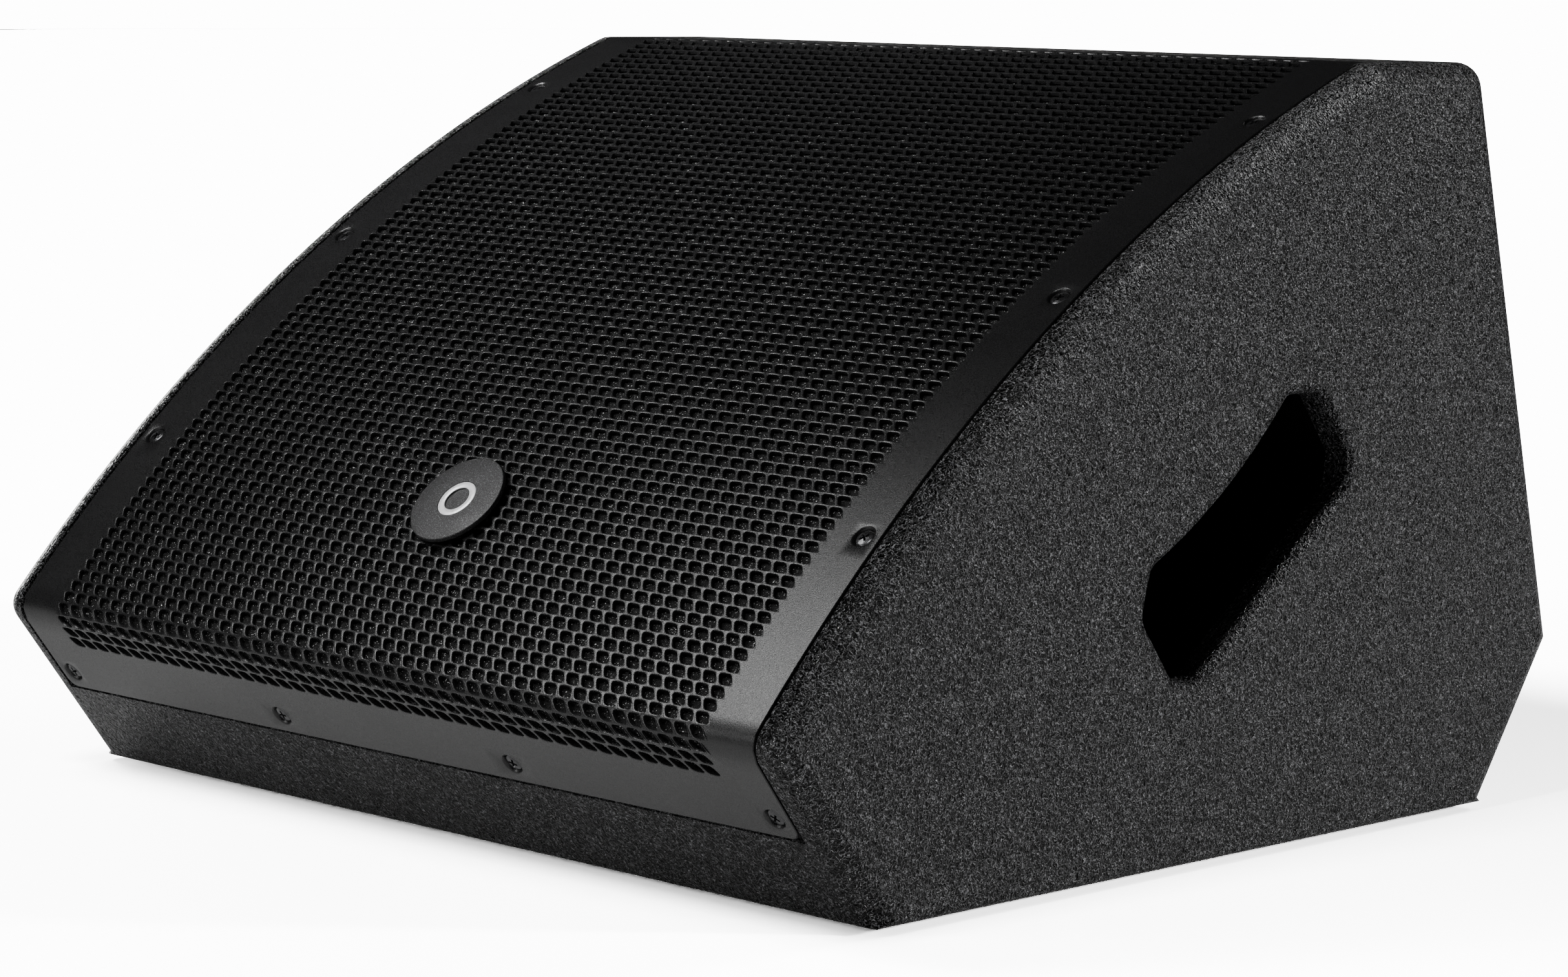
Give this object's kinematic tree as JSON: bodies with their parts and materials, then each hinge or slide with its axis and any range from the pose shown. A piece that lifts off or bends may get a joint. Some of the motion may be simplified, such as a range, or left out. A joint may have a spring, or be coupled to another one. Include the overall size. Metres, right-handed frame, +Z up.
{
  "type": "stage monitor wedge",
  "caption": "Low black wedge loudspeaker that leans back to face a performer, with a curved perforated grille, hand slots in its sides and an amplifier in its back.",
  "frame": {"origin": "middle of the bounding box's bottom face, on the floor the rubber feet stand on", "axes": "+X to the right seen from the front, -Y to the front (the grille side), +Z up"},
  "size_m": [0.45, 0.4536, 0.303],
  "materials": {
    "coating": "fine-grained black textured coating on birch ply",
    "board": "black-stained ply, uncoated",
    "grille_paint": "satin black powder coat",
    "foam": "open-cell black foam",
    "black_screw": "black oxide",
    "badge_face": "dark satin with a fine grain",
    "badge_ring": "polished",
    "black_plastic": "moulded black",
    "amp_cast": "black-painted casting",
    "basket_cast": "black-painted casting",
    "cone_paper": "coated paper pulp",
    "surround_cloth": "doped cloth",
    "ferrite": "dull sintered magnet and steel plates",
    "zinc_steel": "zinc plated",
    "circuit": "green circuit board with black parts",
    "foot_rubber": "moulded rubber",
    "lamp": "translucent green lens"
  },
  "bodies": {
    "cabinet": {"side_panel_right": "coating", "side_panel_left": "coating", "bottom_board": "coating", "rear_bevel_board": "coating", "top_board": "coating", "handle_cup_right": "black_plastic", "handle_cup_left": "black_plastic", "woofer_basket": "basket_cast", "woofer_surround": "surround_cloth", "woofer_spider": "cone_paper", "woofer_motor": "ferrite", "hf_horn": "black_plastic", "compression_driver": "ferrite", "woofer_bolt_1": "black_screw", "woofer_bolt_2": "black_screw", "woofer_bolt_3": "black_screw", "woofer_bolt_4": "black_screw", "port_tube_right": "black_plastic", "port_tube_left": "black_plastic", "amp_plate": "amp_cast", "amp_housing": "zinc_steel", "amplifier_board": "circuit", "power_supply_board": "circuit", "plate_screw_1": "black_screw", "plate_screw_2": "black_screw", "plate_screw_3": "black_screw", "plate_screw_4": "black_screw", "input_socket": "black_plastic", "link_socket": "black_plastic", "status_lamp": "lamp", "mains_inlet": "black_plastic", "rocker_frame": "black_plastic", "grille_screw_01": "black_screw", "grille_screw_02": "black_screw", "grille_screw_03": "black_screw", "grille_screw_04": "black_screw", "grille_screw_05": "black_screw", "grille_screw_06": "black_screw", "grille_screw_07": "black_screw", "grille_screw_08": "black_screw", "grille_screw_09": "black_screw", "grille_screw_10": "black_screw", "kick_board": "coating", "badge_disc": "badge_face", "badge_ring": "badge_ring", "grille": "grille_paint", "grille_foam": "foam", "grille_cleat_right": "board", "grille_cleat_left": "board", "baffle_board": "board", "back_board": "coating", "foot_front_right": "foot_rubber", "foot_front_left": "foot_rubber", "foot_rear_right": "foot_rubber", "foot_rear_left": "foot_rubber"},
    "cone": {"woofer_cone": "cone_paper"},
    "knob": {"level_knob": "black_plastic"},
    "button": {"mode_button": "black_plastic"},
    "release_tab": {"socket_release_tab": "zinc_steel"},
    "rocker": {"rocker_paddle": "black_plastic"}
  },
  "joints": [
    {"name": "cone_travel", "type": "slide", "parent": "cabinet", "child": "cone", "axis": [0, -0.5742, 0.8187], "range_m": [-0.006, 0.006], "stiffness_N_per_m": 5000},
    {"name": "level_knob_turn", "type": "hinge", "parent": "cabinet", "child": "knob", "pos_m": [-0.098, 0.18561, 0.225], "axis": [0, 0.9695, 0.245], "range_deg": [-150, 150]},
    {"name": "mode_button_press", "type": "slide", "parent": "cabinet", "child": "button", "axis": [0, -0.9695, -0.245], "range_m": [0, 0.002], "stiffness_N_per_m": 400},
    {"name": "release_tab_press", "type": "slide", "parent": "cabinet", "child": "release_tab", "axis": [0, -0.9695, -0.245], "range_m": [0, 0.0015], "stiffness_N_per_m": 400},
    {"name": "rocker_tilt", "type": "hinge", "parent": "cabinet", "child": "rocker", "pos_m": [-0.092, 0.20669, 0.1375], "axis": [-1, 0, 0], "range_deg": [0, 18]}
  ]
}
